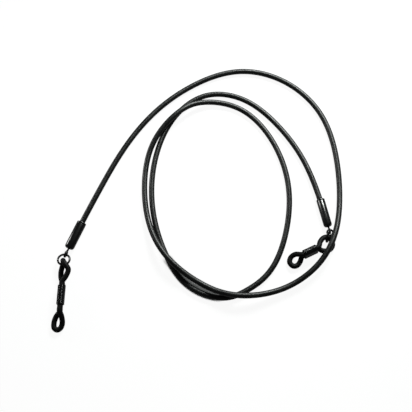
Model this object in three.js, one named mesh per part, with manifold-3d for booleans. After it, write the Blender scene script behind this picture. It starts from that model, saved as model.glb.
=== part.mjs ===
// Eyeglass retainer cord: one long round cord that ends in two ferrules.
// Each ferrule holds a headed eye pin, and on the pin's eye hangs a jump ring
// with an elastic grip loop and a slide coil that closes the loop on a spectacle arm.
// The right coil is pushed shorter than the left one.
// Millimetres. +X runs from the left end fittings to the right ones, +Z is up,
// and the whole piece lies on z = 0.
import * as THREE from "three";
import { NURBSCurve } from "three/addons/curves/NURBSCurve.js";
import { mergeVertices } from "three/addons/utils/BufferGeometryUtils.js";
import Module from "manifold-3d";

const wasm = await Module();
wasm.setup();

// Driving dimensions.
const cordRadius = 1.25;
const cordSides = 8;
const cordSteps = 210;
const ferrule = {
  length: 13,
  flatRadius: 1.85,
  boreRadius: 1.4,
  endWall: 1.2,
  pinHole: 0.7,
  rim: 0.2,
  shoulder: 0.4,
  sides: 16,
  leftWidening: 1.14,
};
const pin = {
  shankRadius: 0.45,
  headRadius: 1.1,
  headLength: 0.6,
  headGap: 0.3,
  eyeRadius: 1.25,
  eyeWire: 0.4,
  eyeReach: 2.75,
};
const ring = { radius: 2.55, wire: 0.45, split: 0.3, sides: 10, steps: 34 };
const rubber = { radius: 1.15, sides: 10 };
const coil = {
  leftLength: 8.6,
  rightLength: 6.6,
  bore: 1.3,
  wall: 0.3,
  halfSpacing: 1.21,
  tilt: 8,
};
const coilHeight = coil.bore + coil.wall + 0.02 + coil.halfSpacing * Math.cos(rad(coil.tilt));
const strandSide = coil.halfSpacing * Math.sin(rad(coil.tilt));
const strandRise = coil.halfSpacing * Math.cos(rad(coil.tilt));

// Colours and finishes.
const leather = { color: 0x17181a, roughness: 0.42, metalness: 0 };
const blackEnamel = { color: 0x0e0e10, roughness: 0.22, metalness: 0.6 };
const blackWire = { color: 0x1a1a1c, roughness: 0.3, metalness: 0.8 };
const blackRubber = { color: 0x111214, roughness: 0.5, metalness: 0 };

// Helpers.
function rad(degrees) {
  return (degrees * Math.PI) / 180;
}

function toSolid(geometry) {
  const bare = geometry.clone();
  bare.deleteAttribute("normal");
  bare.deleteAttribute("uv");
  const merged = mergeVertices(bare, 1e-4);
  return new wasm.Manifold(
    new wasm.Mesh({
      numProp: 3,
      vertProperties: new Float32Array(merged.attributes.position.array),
      triVerts: new Uint32Array(merged.index.array),
    }),
  );
}

function toGeometry(solid) {
  const mesh = solid.getMesh();
  const geometry = new THREE.BufferGeometry();
  geometry.setAttribute("position", new THREE.BufferAttribute(mesh.vertProperties, 3));
  geometry.setIndex(new THREE.BufferAttribute(mesh.triVerts, 1));
  geometry.computeVertexNormals();
  return geometry;
}

function addPart(parent, name, geometry, look) {
  const mesh = new THREE.Mesh(geometry, new THREE.MeshStandardMaterial(look));
  mesh.name = name;
  parent.add(mesh);
  return mesh;
}

function frameAt(parent, point, order, turns) {
  const frame = new THREE.Group();
  frame.position.set(...point);
  frame.rotation.set(rad(turns[0]), rad(turns[1]), rad(turns[2]), order);
  parent.add(frame);
  return frame;
}

function roundSection(radius, sides) {
  const shape = new THREE.Shape();
  for (let i = 0; i < sides; i++) {
    const angle = (i / sides) * 2 * Math.PI;
    const corner = [radius * Math.cos(angle), radius * Math.sin(angle)];
    if (i === 0) shape.moveTo(...corner);
    else shape.lineTo(...corner);
  }
  shape.closePath();
  return shape;
}

// A smooth line that starts and ends on its first and last control point.
function smoothLine(points) {
  const degree = 3;
  const last = points.length - degree;
  const knots = points.length + degree + 1;
  const knotList = [];
  for (let i = 0; i < knots; i++) {
    knotList.push(Math.min(Math.max(i - degree, 0), last));
  }
  const controls = points.map((p) => new THREE.Vector4(p[0], p[1], p[2], 1));
  const line = new NURBSCurve(degree, knotList, controls);
  line.arcLengthDivisions = 2400;
  return line;
}

// An open circle of wire, with the split on the side away from what hangs on it.
class SplitCircle extends THREE.Curve {
  constructor(radius, split, middle) {
    super();
    this.radius = radius;
    this.start = middle + split / radius / 2;
    this.sweep = 2 * Math.PI - split / radius;
  }

  getPoint(t, target = new THREE.Vector3()) {
    const angle = this.start + t * this.sweep;
    const x = this.radius * Math.cos(angle);
    const y = this.radius * Math.sin(angle);
    return target.set(x, y, 0);
  }
}

// The cord.
// From inside the left ferrule: over the top, round the lower right, three crossings,
// two and a half turns in all, and down into the right ferrule.
const lying = cordRadius;
const cordRoute = [
  [-54.7, 9.8, 1.85],
  [-50.2, 20.4, 1.85],
  [-44.5, 33.5, lying],
  [-34.6, 54.7, lying],
  [-21.1, 74, lying],
  [-2.7, 88.8, lying],
  [20, 98.1, lying],
  [43, 91.5, lying],
  [60, 73.5, lying],
  [64.8, 49, lying],
  [64.3, 27, 1.5],
  [60.65, 11.1, 5.4],
  [53, -2.5, 4.4],
  [37, -13, lying],
  [16.5, -16.5, 6.2],
  [2.4, -10.3, 1.4],
  [-13.5, 0.3, 6.4],
  [-22, 17, 1.8],
  [-24.7, 37, 1.3],
  [-22.1, 58.3, 1.7],
  [-8.7, 72.7, 6.4],
  [2.5, 80, 1.5],
  [22.5, 77, lying],
  [37.5, 57, lying],
  [43.9, 30.5, lying],
  [35.8, -2.1, lying],
  [22.5, -12, lying],
  [11.5, -17, lying],
  [-4, -11.5, lying],
  [-12.7, 0.5, lying],
  [-19.6, 19, lying],
  [-21.4, 39, lying],
  [-17.8, 58.8, lying],
  [-9.6, 74.5, lying],
  [4.5, 85, lying],
  [23.5, 81.5, lying],
  [38.3, 66.8, lying],
  [50.3, 48.5, lying],
  [55.0, 30.6, 1.85],
  [57.3, 20.2, 1.85],
];

function makeCord() {
  return new THREE.ExtrudeGeometry(roundSection(cordRadius, cordSides), {
    steps: cordSteps,
    bevelEnabled: false,
    extrudePath: smoothLine(cordRoute),
  });
}

// End fittings.
// A cup of sixteen flats, mouth at x = 0 and end wall at the far end, lying on one flat.
// The left one is crimped a little wider than it is high.
function makeFerrule(widening) {
  const corner = Math.cos(Math.PI / ferrule.sides);
  const outer = ferrule.flatRadius / corner;
  const end = ferrule.length;
  const profile = [
    [ferrule.boreRadius + ferrule.rim / 2, 0],
    [outer - ferrule.rim, 0],
    [outer, ferrule.rim],
    [outer, end - ferrule.shoulder],
    [outer - ferrule.shoulder, end],
    [ferrule.pinHole, end],
    [ferrule.pinHole, end - ferrule.endWall],
    [ferrule.boreRadius, end - ferrule.endWall],
    [ferrule.boreRadius, ferrule.rim / 2],
    [ferrule.boreRadius + ferrule.rim / 2, 0],
  ];
  const points = profile.map((p) => new THREE.Vector2(p[0], p[1]));
  const cup = new THREE.LatheGeometry(points, ferrule.sides);
  cup.rotateY(Math.PI / ferrule.sides);
  cup.rotateZ(-Math.PI / 2);
  cup.scale(1, widening, 1);
  return cup;
}

// A headed shank through the end wall with a round eye outside, standing up or lying flat.
function makeEyePin(eyeUpright) {
  const eyeAt = ferrule.length + pin.eyeReach;
  const headEnd = ferrule.length - ferrule.endWall - pin.headGap;
  const headStart = headEnd - pin.headLength;
  const shankEnd = eyeAt - pin.eyeRadius;
  const profile = [
    [0, headStart],
    [pin.headRadius, headStart],
    [pin.headRadius, headEnd],
    [pin.shankRadius, headEnd],
    [pin.shankRadius, shankEnd],
    [0, shankEnd],
  ];
  const points = profile.map((p) => new THREE.Vector2(p[0], p[1]));
  const shank = new THREE.LatheGeometry(points, 12);
  shank.rotateZ(-Math.PI / 2);
  const eye = new THREE.TorusGeometry(pin.eyeRadius, pin.eyeWire, 12, 28);
  if (eyeUpright) eye.rotateX(Math.PI / 2);
  eye.translate(eyeAt, 0, 0);
  return toGeometry(toSolid(shank).add(toSolid(eye)));
}

function makeJumpRing(splitAt) {
  return new THREE.ExtrudeGeometry(roundSection(ring.wire, ring.sides), {
    steps: ring.steps,
    bevelEnabled: false,
    extrudePath: new SplitCircle(ring.radius, ring.split, rad(splitAt)),
  });
}

// The rubber loop is endless, so its tube runs round into its own start.
function makeGripLoop(points, steps) {
  const line = new THREE.CatmullRomCurve3(
    points.map((p) => new THREE.Vector3(...p)),
    true,
  );
  return new THREE.TubeGeometry(line, steps, rubber.radius, rubber.sides, true);
}

function stadium(path, radius, half) {
  path.moveTo(half, -radius);
  path.absarc(half, 0, radius, -Math.PI / 2, Math.PI / 2, false);
  path.lineTo(-half, radius);
  path.absarc(-half, 0, radius, Math.PI / 2, (3 * Math.PI) / 2, false);
  path.closePath();
  return path;
}

// The wire coil round both strands, as the tube its turns fill, leaning to one side.
function makeSlideCoil(length, lean) {
  const section = stadium(new THREE.Shape(), coil.bore + coil.wall, coil.halfSpacing);
  section.holes.push(stadium(new THREE.Path(), coil.bore, coil.halfSpacing));
  const tube = new THREE.ExtrudeGeometry(section, {
    depth: length,
    bevelEnabled: false,
    curveSegments: 10,
  });
  tube.translate(0, 0, -length / 2);
  tube.rotateY(Math.PI / 2);
  tube.rotateX(rad(lean));
  return tube;
}

// The two strands at one place along the coil: high on the side it leans to, low opposite.
function strands(alongList, middle, lean) {
  const side = strandSide * lean;
  return {
    high: alongList.map((x) => [x, middle + side, coilHeight + strandRise]),
    low: alongList.map((x) => [x, middle - side, coilHeight - strandRise]).reverse(),
  };
}

// Left end.
const leftMouth = [-51, 18.5, ferrule.flatRadius];
const leftHeading = -113;
const leftRingHeading = -94;
const leftLoopHeading = -91;
const leftRingPitch = 14;
const leftCoilMiddle = 0.4;
const leftCoilAlong = 13.2;

// Right end.
const rightMouth = [55.3, 29.3, ferrule.flatRadius];
const rightHeading = -77.5;
const rightRingHeading = -111;
const rightLoopHeading = -154.5;
const rightRingLean = 15;
const rightCoilMiddle = 0.9;
const rightCoilAlong = 8.9;

function along(point, heading, distance) {
  const x = point[0] + distance * Math.cos(rad(heading));
  const y = point[1] + distance * Math.sin(rad(heading));
  return [x, y, point[2]];
}

const group = new THREE.Group();
addPart(group, "leather_cord", makeCord(), leather);

// Left ferrule and pin, with the eye standing upright.
const leftEnd = frameAt(group, leftMouth, "XYZ", [0, 0, leftHeading]);
addPart(leftEnd, "left_ferrule", makeFerrule(ferrule.leftWidening), blackEnamel);
addPart(leftEnd, "left_eye_pin", makeEyePin(true), blackWire);

// The left ring lies nearly flat: its near side threads the eye, its far side lifts.
const eyeToHinge = ferrule.length + pin.eyeReach + pin.eyeRadius;
const leftHinge = along(leftMouth, leftHeading, eyeToHinge);
const pitchCos = Math.cos(rad(leftRingPitch));
const pitchSin = Math.sin(rad(leftRingPitch));
const leftReach = ring.radius * pitchCos - pin.eyeWire - ring.wire - 0.1;
const leftRingCentre = along(leftHinge, leftRingHeading, leftReach);
leftRingCentre[2] = ferrule.flatRadius + ring.radius * pitchSin;
const leftTurns = [0, -leftRingPitch, leftRingHeading];
const leftRing = frameAt(group, leftRingCentre, "ZYX", leftTurns);
addPart(leftRing, "left_jump_ring", makeJumpRing(-65), blackWire);

// The left rubber loop hangs on the ring's far side.
const leftFar = along(leftRingCentre, leftRingHeading, ring.radius * pitchCos);
leftFar[2] = 0;
const leftLoop = frameAt(group, leftFar, "XYZ", [0, 0, leftLoopHeading]);
const leftStrands = strands([7.8, 9.4, 18.4, 20.0], leftCoilMiddle, 1);
const leftLoopPoints = [
  [-1.85, 0, 3.08],
  [-1.35, 0.35, 4.4],
  [0.1, 1.35, 4.93],
  [2.4, 2.9, 4.65],
  [5.2, 2.1, 4.3],
  ...leftStrands.high,
  [22.6, 1.5, 2.9],
  [25.2, 1.75, 1.7],
  [27.0, 1.1, 1.25],
  [27.85, -0.2, 1.2],
  [27.1, -1.5, 1.2],
  [25.0, -1.85, 1.2],
  [22.4, -1.2, 1.35],
  ...leftStrands.low,
  [5.2, -0.6, 1.35],
  [2.6, -0.8, 1.22],
  [0.2, -0.45, 1.22],
  [-1.35, -0.15, 1.75],
];
addPart(leftLoop, "left_grip_loop", makeGripLoop(leftLoopPoints, 78), blackRubber);
const leftCoilPoint = [leftCoilAlong, leftCoilMiddle, coilHeight];
const leftCoil = frameAt(leftLoop, leftCoilPoint, "XYZ", [0, 0, 0]);
addPart(leftCoil, "left_slide_coil", makeSlideCoil(coil.leftLength, -coil.tilt), blackWire);

// Right ferrule and pin, with the eye lying flat.
const rightEnd = frameAt(group, rightMouth, "XYZ", [0, 0, rightHeading]);
addPart(rightEnd, "right_ferrule", makeFerrule(1), blackEnamel);
addPart(rightEnd, "right_eye_pin", makeEyePin(false), blackWire);

// The right ring stands on its edge through the flat eye, leaning away from the cord.
const rightEye = along(rightMouth, rightHeading, ferrule.length + pin.eyeReach);
const leanCos = Math.cos(rad(rightRingLean));
const leanSin = Math.sin(rad(rightRingLean));
const ringHeight = ring.radius * leanCos + ring.wire;
const overEye = (ringHeight - ferrule.flatRadius) / leanCos;
const rightReach = Math.sqrt(ring.radius ** 2 - overEye ** 2);
const rightForward = along(rightEye, rightRingHeading, rightReach);
const rightRingCentre = along(rightForward, rightRingHeading + 90, -overEye * leanSin);
rightRingCentre[2] = ringHeight;
const rightTurns = [90 + rightRingLean, 0, rightRingHeading];
const rightRing = frameAt(group, rightRingCentre, "ZYX", rightTurns);
addPart(rightRing, "right_jump_ring", makeJumpRing(100), blackWire);

// The right rubber loop hangs through the lower part of the ring.
const rightFar = [56.98, 9.42, 0];
const rightLoop = frameAt(group, rightFar, "XYZ", [0, 0, rightLoopHeading]);
const rightStrands = strands([4.8, 5.9, 12.0, 12.9], rightCoilMiddle, -1);
const rightLoopPoints = [
  [-1.27, -1.6, 2.8],
  [-2.15, 0.1, 2.1],
  [-1.9, 2.0, 1.5],
  [-0.4, 3.25, 1.3],
  [1.5, 3.4, 1.2],
  [3.3, 2.6, 1.3],
  ...rightStrands.low.reverse(),
  [14.6, 2.7, 1.35],
  [16.5, 3.6, 1.2],
  [18.2, 3.1, 1.2],
  [18.8, 1.0, 1.2],
  [17.4, -0.7, 1.4],
  [15.2, -0.9, 2.5],
  ...rightStrands.high.reverse(),
  [2.9, -1.1, 3.4],
  [0.6, -2.1, 2.95],
];
addPart(rightLoop, "right_grip_loop", makeGripLoop(rightLoopPoints, 68), blackRubber);
const rightCoilPoint = [rightCoilAlong, rightCoilMiddle, coilHeight];
const rightCoil = frameAt(rightLoop, rightCoilPoint, "XYZ", [0, 0, 0]);
addPart(rightCoil, "right_slide_coil", makeSlideCoil(coil.rightLength, coil.tilt), blackWire);

export default group;
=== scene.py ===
import math

import bmesh
import bpy
from mathutils import Matrix, Vector


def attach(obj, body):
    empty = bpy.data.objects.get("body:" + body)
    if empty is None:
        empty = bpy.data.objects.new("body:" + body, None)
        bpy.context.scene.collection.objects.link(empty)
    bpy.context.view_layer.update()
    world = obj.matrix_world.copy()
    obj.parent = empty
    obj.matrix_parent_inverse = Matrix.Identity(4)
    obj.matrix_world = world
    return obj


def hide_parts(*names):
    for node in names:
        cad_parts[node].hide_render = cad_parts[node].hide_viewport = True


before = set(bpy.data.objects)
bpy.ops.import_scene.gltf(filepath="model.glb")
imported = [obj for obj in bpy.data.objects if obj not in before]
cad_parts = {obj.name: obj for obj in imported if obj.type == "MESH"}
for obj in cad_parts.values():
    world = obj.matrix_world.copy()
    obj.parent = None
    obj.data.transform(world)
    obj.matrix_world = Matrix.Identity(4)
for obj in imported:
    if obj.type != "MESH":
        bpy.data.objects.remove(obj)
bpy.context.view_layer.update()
scene = bpy.context.scene
mm = 0.001
print("frame loaded")


# Camera, floor and light
studio = {
    "aim": (0.004, 0.027, 0.0),
    "distance": 0.315,
    "tilt": 20.0,
    "lens": 61.17,
    "sensor": 36.0,
    "nearest": 0.01,
    "farthest": 20.0,
    "floorSize": 6.0,
    "floorDrop": 0.00004,
    "floorColor": (0.93, 0.93, 0.93, 1.0),
    "floorShade": (0.12, 0.12, 0.12, 1.0),
    "floorRough": 0.9,
    "floorSeen": 1.0,
    "floorGiven": 0.14,
    # Painted shade on the floor: its spot, how far from it the shade stops, the occlusion reach,
    # and the occlusion values where the shade is full or gone.
    "paintedShadeSpot": (-0.003, -0.0085, 0.0),
    "paintedShadeNear": 0.012,
    "paintedShadeFar": 0.017,
    "paintedShadeReach": 0.006,
    "paintedShadeFullBelow": 0.50,
    "paintedShadeNoneAbove": 0.62,
    "airColor": (0.94, 0.95, 0.96, 1.0),
    "airSeen": 0.95,
    "airGiven": 0.05,
}

# Name, place, point it faces, width and height, spread in degrees, watts and colour.
lamps = [
    (
        "skyPanel",
        (0.12, 0.30, 0.24),
        (0.04, 0.085, 0.0),
        (0.17, 0.11),
        60.0,
        0.30,
        (0.95, 1.0, 0.97),
    ),
    (
        "lowPanel",
        (-0.45, 0.27, 0.12),
        (-0.04, 0.03, 0.0),
        (0.08, 0.14),
        180.0,
        0.75,
        (1.0, 1.0, 0.98),
    ),
]


def rangeNode(tree, value, low=0.0, high=1.0, outLow=0.0, outHigh=1.0, soft=False):
    node = tree.nodes.new("ShaderNodeMapRange")
    if soft:
        node.interpolation_type = "SMOOTHSTEP"
    node.inputs["From Min"].default_value = low
    node.inputs["From Max"].default_value = high
    node.inputs["To Min"].default_value = outLow
    node.inputs["To Max"].default_value = outHigh
    tree.links.new(value, node.inputs["Value"])
    return node.outputs["Result"]


def mathNode(tree, operation, first, second, clamp=False):
    node = tree.nodes.new("ShaderNodeMath")
    node.operation = operation
    node.use_clamp = clamp
    for socket, value in zip(node.inputs, (first, second)):
        if isinstance(value, (int, float)):
            socket.default_value = value
        else:
            tree.links.new(value, socket)
    return node.outputs[0]


def plusShare(tree, base, value, share, clamp=False):
    return mathNode(tree, "ADD", base, mathNode(tree, "MULTIPLY", value, share), clamp)


# How bright something glows: one value where it is looked at, a lower one as a light.
def seenOrGiven(tree, seen, given):
    rays = tree.nodes.new("ShaderNodeLightPath")
    return rangeNode(tree, rays.outputs["Is Camera Ray"], outLow=given, outHigh=seen)


# Painted shade: the floor's glow fades to dark between the two near strands of the coil, where
# ambient occlusion is strong, inside one placed spot, and nowhere else.
def makePaper():
    paper = bpy.data.materials.new("floorPaper")
    paper.use_nodes = True
    tree = paper.node_tree
    shader = tree.nodes["Principled BSDF"]
    shader.inputs["Base Color"].default_value = studio["floorShade"]
    shader.inputs["Roughness"].default_value = studio["floorRough"]
    shader.inputs["Specular IOR Level"].default_value = 0.0
    shader.inputs["Emission Color"].default_value = studio["floorColor"]
    openness = tree.nodes.new("ShaderNodeAmbientOcclusion")
    openness.inputs["Distance"].default_value = studio["paintedShadeReach"]
    # Painted shade: the glow dims where ambient occlusion is strong, as in the narrow gap between
    # strands.
    paintedGapShade = rangeNode(
        tree, openness.outputs["AO"], studio["paintedShadeFullBelow"], studio["paintedShadeNoneAbove"], soft=True
    )
    spot = tree.nodes.new("ShaderNodeNewGeometry")
    away = tree.nodes.new("ShaderNodeVectorMath")
    away.operation = "DISTANCE"
    away.inputs[1].default_value = studio["paintedShadeSpot"]
    tree.links.new(spot.outputs["Position"], away.inputs[0])
    # The painted shade is kept to one spot: away from it the floor's glow stays full.
    clear = rangeNode(
        tree, away.outputs["Value"], studio["paintedShadeNear"], studio["paintedShadeFar"], soft=True
    )
    glowKeptByPaintedShade = mathNode(tree, "MAXIMUM", paintedGapShade, clear)
    glow = seenOrGiven(tree, studio["floorSeen"], studio["floorGiven"])
    strength = mathNode(tree, "MULTIPLY", glowKeptByPaintedShade, glow)
    tree.links.new(strength, shader.inputs["Emission Strength"])
    return paper


def makeFloor():
    bm = bmesh.new()
    bmesh.ops.create_grid(bm, x_segments=1, y_segments=1, size=studio["floorSize"])
    mesh = bpy.data.meshes.new("floor")
    bm.to_mesh(mesh)
    bm.free()
    mesh.transform(Matrix.Translation((0.0, 0.0, -studio["floorDrop"])))
    mesh.materials.append(makePaper())
    floor = bpy.data.objects.new("floor", mesh)
    scene.collection.objects.link(floor)


def makeStudio():
    data = bpy.data.cameras.new("tableView")
    data.sensor_width = studio["sensor"]
    data.lens = studio["lens"]
    data.clip_start = studio["nearest"]
    data.clip_end = studio["farthest"]
    camera = bpy.data.objects.new("tableView", data)
    tilt = math.radians(studio["tilt"])
    aim = Vector(studio["aim"])
    back = Vector((0.0, -math.sin(tilt), math.cos(tilt)))
    camera.location = aim + studio["distance"] * back
    camera.rotation_euler = (tilt, 0.0, 0.0)
    scene.collection.objects.link(camera)
    scene.camera = camera

    for name, place, target, size, spread, watts, color in lamps:
        lamp = bpy.data.lights.new(name, "AREA")
        lamp.shape = "RECTANGLE"
        lamp.size, lamp.size_y = size
        lamp.spread = math.radians(spread)
        lamp.energy = watts
        lamp.color = color
        holder = bpy.data.objects.new(name, lamp)
        holder.location = place
        facing = Vector(target) - Vector(place)
        holder.rotation_euler = facing.to_track_quat("-Z", "Y").to_euler()
        scene.collection.objects.link(holder)

    world = bpy.data.worlds.new("studioAir")
    world.use_nodes = True
    air = world.node_tree.nodes["Background"]
    air.inputs["Color"].default_value = studio["airColor"]
    glow = seenOrGiven(world.node_tree, studio["airSeen"], studio["airGiven"])
    world.node_tree.links.new(glow, air.inputs["Strength"])
    scene.world = world
    scene.view_settings.view_transform = "Standard"


makeStudio()
makeFloor()
print("camera, floor and lights placed")


# Shared ways of making pieces
def newPiece(name, mesh, body, slot, *nodes):
    piece = bpy.data.objects.new(name, mesh)
    scene.collection.objects.link(piece)
    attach(piece, body)
    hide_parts(*nodes)
    for face in mesh.polygons:
        face.use_smooth = True
    return piece


def curveMesh(name, addSpline, radius, bevelSteps, resolution):
    curve = bpy.data.curves.new(name, "CURVE")
    curve.dimensions = "3D"
    curve.bevel_depth = radius
    curve.bevel_resolution = bevelSteps
    curve.resolution_u = resolution
    addSpline(curve)
    holder = bpy.data.objects.new(name + "Line", curve)
    scene.collection.objects.link(holder)
    bpy.context.view_layer.update()
    shaped = holder.evaluated_get(bpy.context.evaluated_depsgraph_get())
    mesh = bpy.data.meshes.new_from_object(shaped)
    mesh.name = name
    bpy.data.objects.remove(holder)
    bpy.data.curves.remove(curve)
    return mesh


def sidesOf(bevelSteps):
    return 4 + 2 * bevelSteps


# The middle of each ring of a tube's points.
def ringMiddles(mesh, sides):
    middles = []
    for start in range(0, len(mesh.vertices), sides):
        corners = [mesh.vertices[start + i].co for i in range(sides)]
        middles.append(sum(corners, Vector()) / sides)
    return middles


# A tube's points straightened out: its own round section in x and y, the way along it in z.
def keepStraightSpace(mesh, sides, radius):
    straight = mesh.attributes.new("straight", "FLOAT_VECTOR", "POINT")
    middles = ringMiddles(mesh, sides)
    way = 0.0
    for ring, middle in enumerate(middles):
        if ring:
            way += (middle - middles[ring - 1]).length
        for i in range(sides):
            angle = 2.0 * math.pi * i / sides
            spot = (radius * math.cos(angle), radius * math.sin(angle), way)
            straight.data[ring * sides + i].vector = spot
    return way


edges = {"segments": 3, "profile": 0.5, "sharpFrom": 35.0, "weld": 1e-7}


def softenEdges(bm, chosen, width):
    bmesh.ops.bevel(
        bm,
        geom=chosen,
        offset=width,
        affect="EDGES",
        segments=edges["segments"],
        profile=edges["profile"],
        material=-1,
    )


def closeEnds(mesh, bevelWidth=0.0):
    bm = bmesh.new()
    bm.from_mesh(mesh)
    rims = [e for e in bm.edges if e.is_boundary]
    if rims:
        bmesh.ops.holes_fill(bm, edges=rims, sides=0)
        if bevelWidth:
            softenEdges(bm, rims, bevelWidth)
    bmesh.ops.recalc_face_normals(bm, faces=bm.faces)
    bm.to_mesh(mesh)
    bm.free()


# The same smooth line as the frame's cord: a cubic that starts and ends on its end points.
def smoothLine(points):
    def add(curve):
        spline = curve.splines.new("NURBS")
        spline.points.add(len(points) - 1)
        for knot, point in zip(spline.points, points):
            knot.co = (*point, 1.0)
        spline.order_u = 4
        spline.use_endpoint_u = True

    return add


def polyLine(points):
    def add(curve):
        spline = curve.splines.new("POLY")
        spline.points.add(len(points) - 1)
        for knot, point in zip(spline.points, points):
            knot.co = (*point, 1.0)

    return add


# An endless line through every point, its speed following the gaps between them.
def endlessLine(points):
    def add(curve):
        spots = [Vector(p) for p in points]
        count = len(spots)
        spline = curve.splines.new("BEZIER")
        spline.bezier_points.add(count - 1)
        for i, knot in enumerate(spline.bezier_points):
            knot.co = spots[i]
            knot.handle_left_type = "FREE"
            knot.handle_right_type = "FREE"
        for i in range(count):
            a, b = spots[i - 1], spots[i]
            c, d = spots[(i + 1) % count], spots[(i + 2) % count]
            ab, bc, cd = [math.sqrt((q - p).length) for p, q in ((a, b), (b, c), (c, d))]
            leaving = ((b - a) / ab - (c - a) / (ab + bc) + (c - b) / bc) * bc
            arriving = ((c - b) / bc - (d - b) / (bc + cd) + (d - c) / cd) * bc
            spline.bezier_points[i].handle_right = b + leaving / 3.0
            spline.bezier_points[(i + 1) % count].handle_left = c - arriving / 3.0
        spline.use_cyclic_u = True

    return add


def spunMesh(name, profile, steps, closed, rimWidth=0.0):
    bm = bmesh.new()
    spots = [bm.verts.new((along * mm, 0.0, out * mm)) for along, out in profile]
    pairs = list(zip(spots, spots[1:]))
    if closed:
        pairs.append((spots[-1], spots[0]))
    lines = [bm.edges.new(pair) for pair in pairs]
    bmesh.ops.spin(
        bm,
        geom=spots + lines,
        cent=(0.0, 0.0, 0.0),
        axis=(1.0, 0.0, 0.0),
        angle=2.0 * math.pi,
        steps=steps,
        use_merge=True,
        use_duplicate=False,
    )
    bmesh.ops.remove_doubles(bm, verts=bm.verts, dist=edges["weld"])
    bmesh.ops.recalc_face_normals(bm, faces=bm.faces)
    if rimWidth:
        sharpFrom = math.radians(edges["sharpFrom"])
        sharp = [e for e in bm.edges if e.calc_face_angle(0.0) > sharpFrom]
        softenEdges(bm, sharp, rimWidth * mm)
        bmesh.ops.recalc_face_normals(bm, faces=bm.faces)
    mesh = bpy.data.meshes.new(name)
    bm.to_mesh(mesh)
    bm.free()
    return mesh


def joined(name, *meshes):
    bm = bmesh.new()
    for mesh in meshes:
        bm.from_mesh(mesh)
    whole = bpy.data.meshes.new(name)
    bm.to_mesh(whole)
    bm.free()
    return whole


def placed(point, heading):
    turn = Matrix.Rotation(math.radians(heading), 4, "Z")
    return Matrix.Translation(Vector(point) * mm) @ turn


def further(point, heading, distance):
    angle = math.radians(heading)
    return (
        point[0] + distance * math.cos(angle),
        point[1] + distance * math.sin(angle),
        point[2],
    )


# The cord
cordSettings = {
    "radius": 0.00125,
    "length": 0.752,
    "bevelSteps": 9,
    "resolution": 30,
    "exit": (-0.0510, 0.0185, 0.00185),
}

cordRoute = [
    (-0.0547, 0.0098, 0.00185),
    (-0.0502, 0.0204, 0.00185),
    (-0.0445, 0.0335, 0.00125),
    (-0.0346, 0.0547, 0.00125),
    (-0.0211, 0.0740, 0.00125),
    (-0.0027, 0.0888, 0.00125),
    (0.0200, 0.0981, 0.00125),
    (0.0430, 0.0915, 0.00125),
    (0.0600, 0.0735, 0.00125),
    (0.0648, 0.0490, 0.00125),
    (0.0643, 0.0270, 0.00150),
    (0.06065, 0.0111, 0.00540),
    (0.0530, -0.0025, 0.00440),
    (0.0370, -0.0130, 0.00125),
    (0.0165, -0.0165, 0.00620),
    (0.0024, -0.0103, 0.00140),
    (-0.0135, 0.0003, 0.00640),
    (-0.0220, 0.0170, 0.00180),
    (-0.0247, 0.0370, 0.00130),
    (-0.0221, 0.0583, 0.00170),
    (-0.0087, 0.0727, 0.00640),
    (0.0025, 0.0800, 0.00150),
    (0.0225, 0.0770, 0.00125),
    (0.0375, 0.0570, 0.00125),
    (0.0439, 0.0305, 0.00125),
    (0.0358, -0.0021, 0.00125),
    (0.0225, -0.0120, 0.00125),
    (0.0115, -0.0170, 0.00125),
    (-0.0040, -0.0115, 0.00125),
    (-0.0127, 0.0005, 0.00125),
    (-0.0196, 0.0190, 0.00125),
    (-0.0214, 0.0390, 0.00125),
    (-0.0178, 0.0588, 0.00125),
    (-0.0096, 0.0745, 0.00125),
    (0.0045, 0.0850, 0.00125),
    (0.0235, 0.0815, 0.00125),
    (0.0383, 0.0668, 0.00125),
    (0.0503, 0.0485, 0.00125),
    (0.0550, 0.0306, 0.00185),
    (0.0573, 0.0202, 0.00185),
]


def makeCord():
    sides = sidesOf(cordSettings["bevelSteps"])
    mesh = curveMesh(
        "cordStrand",
        smoothLine(cordRoute),
        cordSettings["radius"],
        cordSettings["bevelSteps"],
        cordSettings["resolution"],
    )
    length = keepStraightSpace(mesh, sides, cordSettings["radius"])
    closeEnds(mesh)
    piece = newPiece("cordStrand", mesh, "cord", "cord_leather", "leather_cord")
    print("cord", round(length, 4), "m")


makeCord()


# End fittings: ferrule, eye pin and jump ring
# Millimetres. The mouth's and the end's shapes are steps inward and drops from the outer radius.
fitting = {
    "axisHeight": 1.85,
    "ferruleLength": 13.0,
    "ferruleRadius": 1.86,
    "ferruleSides": 72,
    "leftWidening": 1.14,
    "mouthShape": [(0.0, 0.10), (0.10, 0.0), (0.55, 0.0), (0.66, 0.05), (0.78, 0.05), (0.89, 0.0)],
    "endShape": [(1.25, 0.0), (0.95, 0.03), (0.45, 0.16), (0.18, 0.42), (0.03, 0.75)],
    "boreRadius": 1.36,
    "boreEdge": (0.14, 0.08),
    "endWall": 1.2,
    "pinHole": 0.62,
    "holeEdge": (0.08, 0.06),
    "shankLine": [
        (11.2, 0.0),
        (12.0, 0.0),
        (12.8, 0.0),
        (13.3, 0.0),
        (13.65, 0.0),
        (13.95, 0.03),
        (14.2, 0.15),
    ],
    "eyeReach": 2.75,
    "eyeRadius": 1.25,
    "eyeWire": 0.42,
    "eyeWireEdge": 0.08,
    "eyeOpening": 152.0,
    "eyeSweep": 322.0,
    "eyeSteps": 56,
    "headRadius": 1.1,
    "headStart": 10.9,
    "headEnd": 11.5,
    "headSides": 32,
    "headEdge": 0.06,
    "ringRadius": 2.55,
    "ringWire": 0.45,
    "ringWireEdge": 0.07,
    "ringSplit": 0.3,
    "ringSteps": 110,
    "ringInEye": 0.95,
    "leftSplitAt": -65.0,
    "rightSplitAt": 100.0,
    "wireRounding": 7,
}

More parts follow.
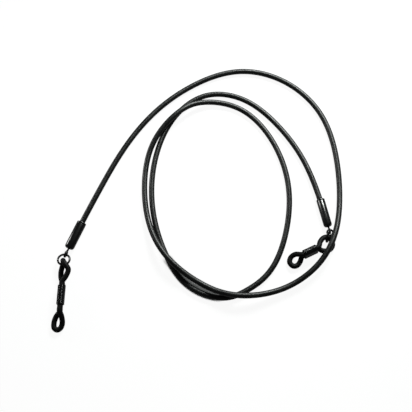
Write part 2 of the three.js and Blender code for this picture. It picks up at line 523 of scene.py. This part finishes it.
leftMouth = (-51.0, 18.5, fitting["axisHeight"])
leftHeading = -113.0
leftRingHeading = -94.0
leftLoopHeading = -91.0
leftRingPitch = 14.0
rightMouth = (55.3, 29.3, fitting["axisHeight"])
rightHeading = -77.5
rightRingHeading = -111.0
rightLoopHeading = -154.5
rightRingLean = 15.0
rightFar = (56.98, 9.42, 0.0)


def makeFerrule(name, mouth, heading, widening, node):
    end = fitting["ferruleLength"]
    out = fitting["ferruleRadius"]
    bore = fitting["boreRadius"]
    hole = fitting["pinHole"]
    wall = end - fitting["endWall"]
    boreIn, boreOut = fitting["boreEdge"]
    holeIn, holeOut = fitting["holeEdge"]
    profile = [(0.0, bore + boreOut)]
    profile += [(step, out - drop) for step, drop in fitting["mouthShape"]]
    profile += [(end - step, out - drop) for step, drop in fitting["endShape"]]
    profile += [(end, hole + holeOut), (end - holeIn, hole)]
    profile += [(wall, hole), (wall, bore), (boreIn, bore)]
    mesh = spunMesh(name, profile, fitting["ferruleSides"], True)
    mesh.transform(Matrix.Scale(widening, 4, (0.0, 1.0, 0.0)))
    mesh.transform(placed(mouth, heading))
    newPiece(name, mesh, "cord", "black_enamel", node)


def wireMesh(name, points, radius, edge):
    mesh = curveMesh(name, polyLine(points), radius * mm, fitting["wireRounding"], 1)
    closeEnds(mesh, edge * mm)
    return mesh


# One wire: a shank through the end wall, bent round into an eye that nearly meets itself.
def makeEyePin(name, mouth, heading, upright, node):
    eyeAt = fitting["ferruleLength"] + fitting["eyeReach"]
    eyeRadius = fitting["eyeRadius"]
    line = list(fitting["shankLine"])
    opening = math.radians(fitting["eyeOpening"])
    sweep = math.radians(fitting["eyeSweep"])
    for i in range(fitting["eyeSteps"] + 1):
        angle = opening - sweep * i / fitting["eyeSteps"]
        line.append((eyeAt + eyeRadius * math.cos(angle), eyeRadius * math.sin(angle)))
    if upright:
        points = [(x * mm, 0.0, y * mm) for x, y in line]
    else:
        points = [(x * mm, y * mm, 0.0) for x, y in line]
    wire = wireMesh(name, points, fitting["eyeWire"], fitting["eyeWireEdge"])
    headStart, headEnd = fitting["headStart"], fitting["headEnd"]
    headRadius = fitting["headRadius"]
    outline = [(headStart, 0.0), (headStart, headRadius), (headEnd, headRadius), (headEnd, 0.0)]
    head = spunMesh(name + "Head", outline, fitting["headSides"], False, fitting["headEdge"])
    mesh = joined(name, wire, head)
    mesh.transform(placed(mouth, heading))
    newPiece(name, mesh, "cord", "black_wire", node)


def makeRing(name, centre, turn, splitAt, body, node):
    radius = fitting["ringRadius"]
    gap = fitting["ringSplit"] / radius
    steps = fitting["ringSteps"]
    points = []
    for i in range(steps + 1):
        angle = math.radians(splitAt) + gap / 2 + (2.0 * math.pi - gap) * i / steps
        points.append((radius * mm * math.cos(angle), radius * mm * math.sin(angle), 0.0))
    mesh = wireMesh(name, points, fitting["ringWire"], fitting["ringWireEdge"])
    mesh.transform(Matrix.Translation(Vector(centre) * mm) @ turn)
    newPiece(name, mesh, body, "black_wire", node)


def turnedBy(heading, angle, axis):
    return Matrix.Rotation(math.radians(heading), 4, "Z") @ Matrix.Rotation(angle, 4, axis)


makeFerrule(
    "leftFerruleCup", leftMouth, leftHeading, fitting["leftWidening"], "left_ferrule"
)
makeFerrule("rightFerruleCup", rightMouth, rightHeading, 1.0, "right_ferrule")
makeEyePin("leftEyeWire", leftMouth, leftHeading, True, "left_eye_pin")
makeEyePin("rightEyeWire", rightMouth, rightHeading, False, "right_eye_pin")

# The left ring lies nearly flat in the upright eye, its far side lifted.
pitch = math.radians(leftRingPitch)
eyeEnd = fitting["ferruleLength"] + fitting["eyeReach"]
flatRadius = fitting["ringRadius"] * math.cos(pitch)
leftHinge = further(leftMouth, leftHeading, eyeEnd + fitting["eyeRadius"])
leftCentre = further(leftHinge, leftRingHeading, flatRadius - fitting["ringInEye"])
leftHeight = fitting["axisHeight"] + fitting["ringRadius"] * math.sin(pitch)
leftCentre = (leftCentre[0], leftCentre[1], leftHeight)
leftFar = further(leftCentre, leftRingHeading, flatRadius)
leftTurn = turnedBy(leftRingHeading, -pitch, "Y")
makeRing(
    "leftSplitRing",
    leftCentre,
    leftTurn,
    fitting["leftSplitAt"],
    "left_ring",
    "left_jump_ring",
)

# The right ring stands on its edge through the flat eye, leaning a little.
lean = math.radians(rightRingLean)
rightEye = further(rightMouth, rightHeading, eyeEnd)
ringHeight = fitting["ringRadius"] * math.cos(lean) + fitting["ringWire"]
overEye = (ringHeight - fitting["axisHeight"]) / math.cos(lean)
rightReach = math.sqrt(fitting["ringRadius"] ** 2 - overEye**2)
rightForward = further(rightEye, rightRingHeading, rightReach)
rightCentre = further(rightForward, rightRingHeading + 90.0, -overEye * math.sin(lean))
rightCentre = (rightCentre[0], rightCentre[1], ringHeight)
rightTurn = turnedBy(rightRingHeading, math.radians(90.0) + lean, "X")
makeRing(
    "rightSplitRing",
    rightCentre,
    rightTurn,
    fitting["rightSplitAt"],
    "right_ring",
    "right_jump_ring",
)
print("ferrules, eyes and rings made")


# Rubber loops and their slide coils
rubber = {"radius": 1.15, "bevelSteps": 8, "resolution": 12}
slide = {
    "bore": 1.3,
    "wall": 0.3,
    "spacing": 1.21,
    "tilt": 8.0,
    "floorGap": 0.02,
    "wire": 0.19,
    "wireRounding": 3,
    "lineRadius": 1.435,
    "perTurn": 44,
    "leftLength": 8.6,
    "leftTurns": 20,
    "leftAlong": 13.2,
    "leftMiddle": 0.4,
    "leftHeld": (7.8, 9.4, 18.4, 20.0),
    "rightLength": 6.6,
    "rightTurns": 15,
    "rightAlong": 8.9,
    "rightMiddle": 0.9,
    "rightHeld": (4.8, 5.9, 12.0, 12.9),
}
strandSide = slide["spacing"] * math.sin(math.radians(slide["tilt"]))
strandRise = slide["spacing"] * math.cos(math.radians(slide["tilt"]))
slideHeight = slide["bore"] + slide["wall"] + slide["floorGap"] + strandRise


# The two strands of a loop, one above the other where the slide goes round them.
def strands(alongs, middle, lean):
    side = strandSide * lean
    high = [(x, middle + side, slideHeight + strandRise) for x in alongs]
    low = [(x, middle - side, slideHeight - strandRise) for x in alongs]
    return high, low


leftHigh, leftLow = strands(slide["leftHeld"], slide["leftMiddle"], 1)
leftLoopPoints = [
    (-1.85, 0, 3.08),
    (-1.35, 0.35, 4.4),
    (0.1, 1.35, 4.93),
    (2.4, 2.9, 4.65),
    (5.2, 2.1, 4.3),
    *leftHigh,
    (22.6, 1.5, 2.9),
    (25.2, 1.75, 1.7),
    (27.0, 1.1, 1.25),
    (27.85, -0.2, 1.2),
    (27.1, -1.5, 1.2),
    (25.0, -1.85, 1.2),
    (22.4, -1.2, 1.35),
    *reversed(leftLow),
    (5.2, -0.6, 1.35),
    (2.6, -0.8, 1.22),
    (0.2, -0.45, 1.22),
    (-1.35, -0.15, 1.75),
]

rightHigh, rightLow = strands(slide["rightHeld"], slide["rightMiddle"], -1)
rightLoopPoints = [
    (-1.27, -1.6, 2.8),
    (-2.15, 0.1, 2.1),
    (-1.9, 2.0, 1.5),
    (-0.4, 3.25, 1.3),
    (1.5, 3.4, 1.2),
    (3.3, 2.6, 1.3),
    *rightLow,
    (14.6, 2.7, 1.35),
    (16.5, 3.6, 1.2),
    (18.2, 3.1, 1.2),
    (18.8, 1.0, 1.2),
    (17.4, -0.7, 1.4),
    (15.2, -0.9, 2.5),
    *reversed(rightHigh),
    (2.9, -1.1, 3.4),
    (0.6, -2.1, 2.95),
]


def makeLoop(name, points, place, body, node):
    mesh = curveMesh(
        name,
        endlessLine([[v * mm for v in p] for p in points]),
        rubber["radius"] * mm,
        rubber["bevelSteps"],
        rubber["resolution"],
    )
    mesh.transform(place)
    closeEnds(mesh)
    newPiece(name, mesh, body, "black_rubber", node)


# Where the wire's line passes at a share of one turn round both strands.
def roundBoth(share):
    half = slide["spacing"]
    radius = slide["lineRadius"]
    bend = math.pi * radius
    flat = 2.0 * half
    way = share * 2.0 * (bend + flat)
    if way < flat:
        return (half - way, radius)
    way -= flat
    if way < bend:
        angle = math.pi / 2 + way / radius
        return (-half + radius * math.cos(angle), radius * math.sin(angle))
    way -= bend
    if way < flat:
        return (-half + way, -radius)
    angle = -math.pi / 2 + (way - flat) / radius
    return (half + radius * math.cos(angle), radius * math.sin(angle))


def makeCoil(name, length, turns, along, middle, tilt, place, body, node):
    steps = turns * slide["perTurn"]
    run = length - 2.0 * slide["wire"]
    turn = math.radians(tilt)
    points = []
    for i in range(steps + 1):
        wide, out = roundBoth((i % slide["perTurn"]) / slide["perTurn"])
        side = out * math.cos(turn) - wide * math.sin(turn)
        rise = out * math.sin(turn) + wide * math.cos(turn)
        x = along - run / 2 + run * i / steps
        points.append((x * mm, (middle + side) * mm, (slideHeight + rise) * mm))
    mesh = curveMesh(name, polyLine(points), slide["wire"] * mm, slide["wireRounding"], 1)
    closeEnds(mesh)
    mesh.transform(place)
    newPiece(name, mesh, body, "black_wire", node)


leftPlace = placed((leftFar[0], leftFar[1], 0.0), leftLoopHeading)
rightPlace = placed(rightFar, rightLoopHeading)
makeLoop("leftRubberLoop", leftLoopPoints, leftPlace, "left_loop", "left_grip_loop")
makeLoop("rightRubberLoop", rightLoopPoints, rightPlace, "right_loop", "right_grip_loop")
makeCoil(
    "leftWireSlide",
    slide["leftLength"],
    slide["leftTurns"],
    slide["leftAlong"],
    slide["leftMiddle"],
    -slide["tilt"],
    leftPlace,
    "left_coil",
    "left_slide_coil",
)
makeCoil(
    "rightWireSlide",
    slide["rightLength"],
    slide["rightTurns"],
    slide["rightAlong"],
    slide["rightMiddle"],
    slide["tilt"],
    rightPlace,
    "right_coil",
    "right_slide_coil",
)
print("rubber loops and slide coils made")


# Materials
def newGroup(name, inputs, outputs):
    group = bpy.data.node_groups.new(name, "ShaderNodeTree")
    for label, kind, value in inputs:
        socket = group.interface.new_socket(name=label, in_out="INPUT", socket_type=kind)
        if value is not None:
            socket.default_value = value
    for label, kind in outputs:
        group.interface.new_socket(name=label, in_out="OUTPUT", socket_type=kind)
    start = group.nodes.new("NodeGroupInput")
    end = group.nodes.new("NodeGroupOutput")
    return group, start, end


def addNode(tree, kind, settings=None, values=None):
    node = tree.nodes.new(kind)
    for key, value in (settings or {}).items():
        setattr(node, key, value)
    for key, value in (values or {}).items():
        node.inputs[key].default_value = value
    return node


def softStep(tree, value, low, high, outLow=0.0, outHigh=1.0):
    return rangeNode(tree, value, low, high, outLow, outHigh, soft=True)


def noiseIn(tree, vector, scale, detail):
    noise = addNode(tree, "ShaderNodeTexNoise", None, {"Scale": scale, "Detail": detail})
    tree.links.new(vector, noise.inputs["Vector"])
    return noise


grainLook = {
    "cellScale": 2600.0,
    "cellWander": (0.0003, 0.0003, 0.0003),
    "wanderScale": 900.0,
    "valleyWidth": 0.16,
    "valleyShare": -0.55,
    "swellScale": 300.0,
    "swellShare": 0.6,
    "fineScale": 7000.0,
    "fineShare": 0.25,
}


# Hide grain: small cells parted by fine valleys, over slow swells.
def makeHideGrain():
    group, start, end = newGroup(
        "hideGrain",
        [
            ("Vector", "NodeSocketVector", None),
            ("Cell Scale", "NodeSocketFloat", grainLook["cellScale"]),
            ("Swell Scale", "NodeSocketFloat", grainLook["swellScale"]),
        ],
        [("Height", "NodeSocketFloat")],
    )
    link = group.links.new
    vector = start.outputs["Vector"]
    wander = noiseIn(group, vector, grainLook["wanderScale"], 2.0)
    shift = addNode(group, "ShaderNodeVectorMath", {"operation": "MULTIPLY_ADD"})
    link(wander.outputs["Color"], shift.inputs[0])
    shift.inputs[1].default_value = grainLook["cellWander"]
    link(vector, shift.inputs[2])
    cells = addNode(group, "ShaderNodeTexVoronoi", {"feature": "DISTANCE_TO_EDGE"})
    link(shift.outputs[0], cells.inputs["Vector"])
    link(start.outputs["Cell Scale"], cells.inputs["Scale"])
    valleyWidth = grainLook["valleyWidth"]
    valleys = softStep(group, cells.outputs["Distance"], 0.0, valleyWidth, 1.0, 0.0)
    swell = addNode(group, "ShaderNodeTexNoise", None, {"Detail": 3.0, "Roughness": 0.55})
    link(vector, swell.inputs["Vector"])
    link(start.outputs["Swell Scale"], swell.inputs["Scale"])
    fine = noiseIn(group, vector, grainLook["fineScale"], 3.0)
    height = mathNode(group, "MULTIPLY", valleys, grainLook["valleyShare"])
    height = plusShare(group, height, swell.outputs["Fac"], grainLook["swellShare"])
    height = plusShare(group, height, fine.outputs["Fac"], grainLook["fineShare"])
    link(height, end.inputs["Height"])
    return group


scuffLook = {"scale": 700.0, "threshold": 0.62, "steepness": 9.0, "driftScale": 120.0}


# Sparse marks: small scuffs and specks as a mask, and a slow drift over the surface.
def makeScuffs():
    group, start, end = newGroup(
        "scuffs",
        [
            ("Vector", "NodeSocketVector", None),
            ("Scale", "NodeSocketFloat", scuffLook["scale"]),
            ("Threshold", "NodeSocketFloat", scuffLook["threshold"]),
        ],
        [("Mask", "NodeSocketFloat"), ("Drift", "NodeSocketFloat")],
    )
    link = group.links.new
    patch = addNode(group, "ShaderNodeTexNoise", None, {"Detail": 5.0, "Roughness": 0.62})
    link(start.outputs["Vector"], patch.inputs["Vector"])
    link(start.outputs["Scale"], patch.inputs["Scale"])
    above = mathNode(group, "SUBTRACT", patch.outputs["Fac"], start.outputs["Threshold"])
    mask = mathNode(group, "MULTIPLY", above, scuffLook["steepness"], True)
    drift = noiseIn(group, start.outputs["Vector"], scuffLook["driftScale"], 2.0)
    link(mask, end.inputs["Mask"])
    link(drift.outputs["Fac"], end.inputs["Drift"])
    return group


hideGrain = makeHideGrain()
scuffs = makeScuffs()


def startMaterial(name):
    material = bpy.data.materials.new(name)
    material.use_nodes = True
    tree = material.node_tree
    return material, tree, tree.nodes["Principled BSDF"]


def placeGroup(tree, group, vector, values=None):
    node = addNode(tree, "ShaderNodeGroup", {"node_tree": group}, values)
    tree.links.new(vector, node.inputs["Vector"])
    return node


# The marks of one finish, at its own scale and threshold.
def placeScuffs(tree, vector, scale, threshold):
    return placeGroup(tree, scuffs, vector, {"Scale": scale, "Threshold": threshold})


def mixColors(tree, mask, first, second):
    node = addNode(tree, "ShaderNodeMix", {"data_type": "RGBA"})
    for socket, value in ((node.inputs[6], first), (node.inputs[7], second)):
        if isinstance(value, tuple):
            socket.default_value = value
        else:
            tree.links.new(value, socket)
    tree.links.new(mask, node.inputs[0])
    return node.outputs[2]


# Gloss that changes slowly over the surface.
def driftingRough(tree, marks, look):
    low, high = look["drift"]
    drift = marks.outputs["Drift"]
    return softStep(tree, drift, low, high, look["roughLow"], look["roughHigh"])


def addBump(tree, shader, height, distance, strength):
    bump = addNode(tree, "ShaderNodeBump", None, {"Distance": distance, "Strength": strength})
    tree.links.new(height, bump.inputs["Height"])
    tree.links.new(bump.outputs["Normal"], shader.inputs["Normal"])


leatherLook = {
    "dark": (0.0040, 0.0043, 0.0043, 1.0),
    "light": (0.0085, 0.0092, 0.0088, 1.0),
    "rubbed": (0.018, 0.019, 0.018, 1.0),
    "toneFrom": 0.32,
    "toneTo": 0.68,
    "roughLow": 0.27,
    "roughHigh": 0.40,
    "drift": (0.25, 0.75),
    "specular": 0.4,
    "scuffScale": 420.0,
    "scuffThreshold": 0.60,
    "scuffShare": 0.45,
    "grainHeight": 0.5,
    "fibreStretch": (1.0, 1.0, 0.07),
    "fibreScale": 3200.0,
    "fibreRough": 0.10,
    "fibreHeight": 0.5,
    "creaseStretch": (0.16, 0.16, 1.0),
    "creaseScale": 950.0,
    "creaseFrom": 0.56,
    "creaseTo": 0.72,
    "creaseRough": 0.10,
    "creaseHeight": -0.6,
    "bumpDepth": 0.00006,
    "bumpStrength": 0.6,
}


def stretchedNoise(tree, vector, stretch, scale, detail):
    mapping = addNode(tree, "ShaderNodeMapping", {"vector_type": "POINT"}, {"Scale": stretch})
    tree.links.new(vector, mapping.inputs["Vector"])
    return noiseIn(tree, mapping.outputs["Vector"], scale, detail).outputs["Fac"]


# Grained hide, its fibres drawn out along the cord and its creases across it.
def makeLeather():
    look = leatherLook
    material, tree, shader = startMaterial("cordLeather")
    link = tree.links.new
    space = addNode(tree, "ShaderNodeAttribute", {"attribute_name": "straight"})
    straight = space.outputs["Vector"]
    grain = placeGroup(tree, hideGrain, straight)
    marks = placeScuffs(tree, straight, look["scuffScale"], look["scuffThreshold"])
    fibres = stretchedNoise(tree, straight, look["fibreStretch"], look["fibreScale"], 4.0)
    creases = stretchedNoise(tree, straight, look["creaseStretch"], look["creaseScale"], 3.0)
    creaseLine = softStep(tree, creases, look["creaseFrom"], look["creaseTo"])

    toneShare = softStep(tree, marks.outputs["Drift"], look["toneFrom"], look["toneTo"])
    tone = mixColors(tree, toneShare, look["dark"], look["light"])
    rubbing = mathNode(tree, "MULTIPLY", marks.outputs["Mask"], look["scuffShare"])
    link(mixColors(tree, rubbing, tone, look["rubbed"]), shader.inputs["Base Color"])
    rough = driftingRough(tree, marks, look)
    rough = plusShare(tree, rough, fibres, look["fibreRough"])
    rough = plusShare(tree, rough, creaseLine, look["creaseRough"], True)
    link(rough, shader.inputs["Roughness"])
    height = mathNode(tree, "MULTIPLY", grain.outputs["Height"], look["grainHeight"])
    height = plusShare(tree, height, fibres, look["fibreHeight"])
    height = plusShare(tree, height, creaseLine, look["creaseHeight"])
    addBump(tree, shader, height, look["bumpDepth"], look["bumpStrength"])
    shader.inputs["Specular IOR Level"].default_value = look["specular"]
    return material


enamelLook = {
    "coat": (0.0035, 0.0036, 0.0038, 1.0),
    "worn": (0.030, 0.028, 0.026, 1.0),
    "roughLow": 0.20,
    "roughHigh": 0.32,
    "drift": (0.3, 0.7),
    "scuffThreshold": 0.66,
    "scuffRough": 0.25,
    "peelScale": 1500.0,
    "bumpStrength": 0.5,
    "coatWeight": 0.15,
    "coatRough": 0.08,
}


# Black enamel or lacquer: a faint orange peel, worn through in specks.
def makeEnamel(name, scuffScale, bumpDepth):
    look = enamelLook
    material, tree, shader = startMaterial(name)
    link = tree.links.new
    place = addNode(tree, "ShaderNodeTexCoord").outputs["Object"]
    marks = placeScuffs(tree, place, scuffScale, look["scuffThreshold"])
    peel = noiseIn(tree, place, look["peelScale"], 2.0)
    tone = mixColors(tree, marks.outputs["Mask"], look["coat"], look["worn"])
    link(tone, shader.inputs["Base Color"])
    rough = driftingRough(tree, marks, look)
    rough = plusShare(tree, rough, marks.outputs["Mask"], look["scuffRough"], True)
    link(rough, shader.inputs["Roughness"])
    addBump(tree, shader, peel.outputs["Fac"], bumpDepth, look["bumpStrength"])
    shader.inputs["Coat Weight"].default_value = look["coatWeight"]
    shader.inputs["Coat Roughness"].default_value = look["coatRough"]
    return material


rubberLook = {
    "dark": (0.0026, 0.0027, 0.0028, 1.0),
    "dusty": (0.010, 0.010, 0.010, 1.0),
    "roughLow": 0.46,
    "roughHigh": 0.60,
    "drift": (0.3, 0.7),
    "specular": 0.15,
    "scuffScale": 900.0,
    "scuffThreshold": 0.63,
    "dustShare": 0.35,
    "skinScale": 5200.0,
    "skinRough": 0.08,
    "bumpDepth": 0.00003,
    "bumpStrength": 0.6,
}


# Dull black rubber with a fine skin and a little dust.
def makeRubber():
    look = rubberLook
    material, tree, shader = startMaterial("gripRubber")
    link = tree.links.new
    place = addNode(tree, "ShaderNodeTexCoord").outputs["Object"]
    marks = placeScuffs(tree, place, look["scuffScale"], look["scuffThreshold"])
    skin = noiseIn(tree, place, look["skinScale"], 3.0).outputs["Fac"]
    dust = mathNode(tree, "MULTIPLY", marks.outputs["Mask"], look["dustShare"])
    tone = mixColors(tree, dust, look["dark"], look["dusty"])
    link(tone, shader.inputs["Base Color"])
    rough = driftingRough(tree, marks, look)
    rough = plusShare(tree, rough, skin, look["skinRough"], True)
    link(rough, shader.inputs["Roughness"])
    addBump(tree, shader, skin, look["bumpDepth"], look["bumpStrength"])
    shader.inputs["Specular IOR Level"].default_value = look["specular"]
    return material


finishes = {
    "leather": makeLeather(),
    "ferruleEnamel": makeEnamel("ferruleEnamel", 620.0, 0.00002),
    "wireLacquer": makeEnamel("wireLacquer", 1100.0, 0.00001),
    "rubber": makeRubber(),
}

dressing = {
    "cordStrand": "leather",
    "leftFerruleCup": "ferruleEnamel",
    "rightFerruleCup": "ferruleEnamel",
    "leftEyeWire": "wireLacquer",
    "rightEyeWire": "wireLacquer",
    "leftSplitRing": "wireLacquer",
    "rightSplitRing": "wireLacquer",
    "leftWireSlide": "wireLacquer",
    "rightWireSlide": "wireLacquer",
    "leftRubberLoop": "rubber",
    "rightRubberLoop": "rubber",
}

for pieceName, finishName in dressing.items():
    materials = bpy.data.objects[pieceName].data.materials
    materials.clear()
    materials.append(finishes[finishName])
print("materials placed")
